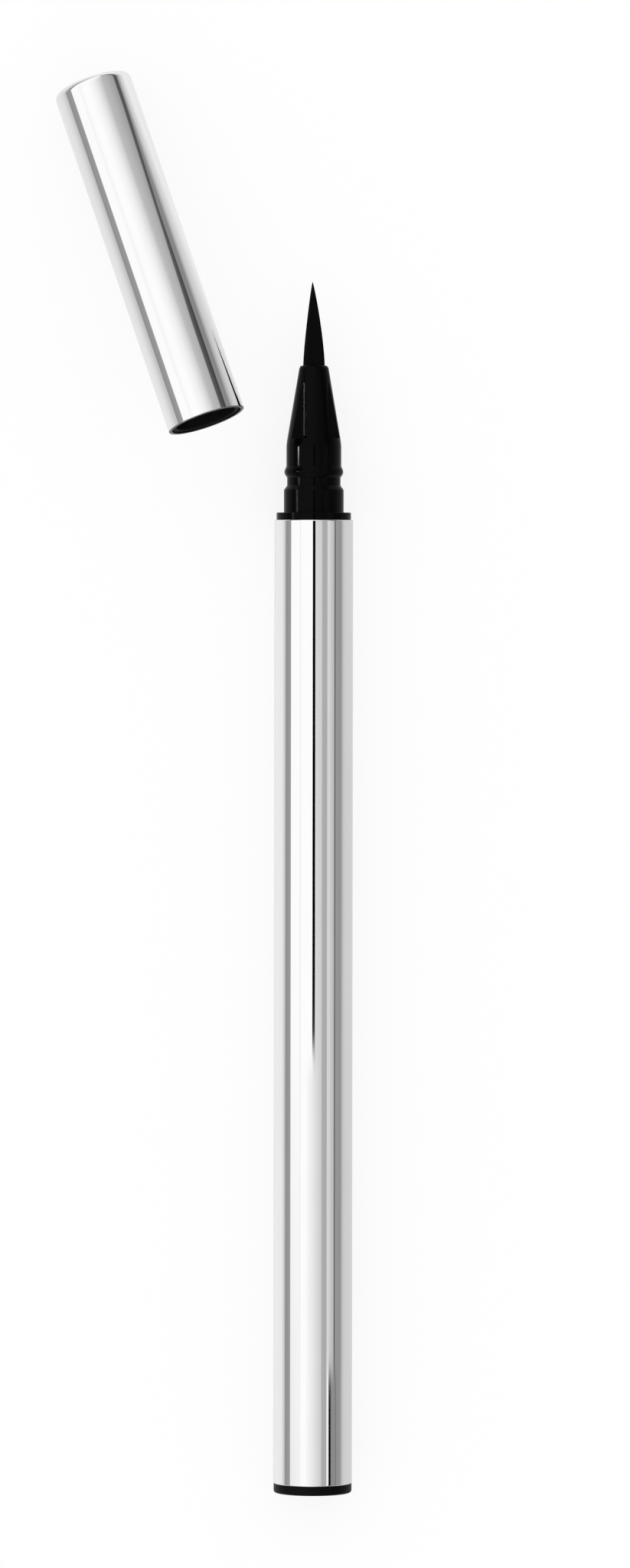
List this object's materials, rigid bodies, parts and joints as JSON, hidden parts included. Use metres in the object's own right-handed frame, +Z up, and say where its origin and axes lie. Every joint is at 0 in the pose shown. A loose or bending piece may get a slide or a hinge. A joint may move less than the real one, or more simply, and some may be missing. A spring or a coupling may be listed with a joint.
{
  "type": "eyeliner pen",
  "caption": "Slim liquid eyeliner pen with a pointed brush tip and a ribbed black nose cone on a polished metal barrel, lying beside its matching pull-off cap.",
  "frame": {"origin": "centre of the end plug's flat face, on the pen's axis", "axes": "+Y along the pen's axis towards the brush, +Z up from the table that the pen and its cap lie on, +X to the right of the pen seen from above with the brush away from the viewer"},
  "size_m": [0.0303, 0.1444, 0.0138],
  "materials": {
    "polished_metal": "mirror polished",
    "black_plastic": "glossy moulded",
    "brush_fibre": "fine ink-wet fibres",
    "natural_plastic": "unpigmented moulded",
    "ink_felt": "ink-soaked fibre",
    "clear_film": "thin clear film",
    "soft_seal": "soft moulded"
  },
  "bodies": {
    "pen": {"barrel_shell": "polished_metal", "inner_barrel": "black_plastic", "front_section": "black_plastic", "brush_tip": "brush_fibre", "feed_holder": "natural_plastic", "ink_feed": "ink_felt", "reservoir_core": "ink_felt", "reservoir_film": "clear_film", "end_plug": "black_plastic"},
    "cap": {"cap_shell": "polished_metal", "cap_liner": "black_plastic", "inner_seal": "soft_seal"}
  },
  "joints": [
    {"name": "cap_lift", "type": "slide", "parent": "pen", "child": "cap", "axis": [0, 0, 1], "range_m": [0, 0.03]}
  ]
}
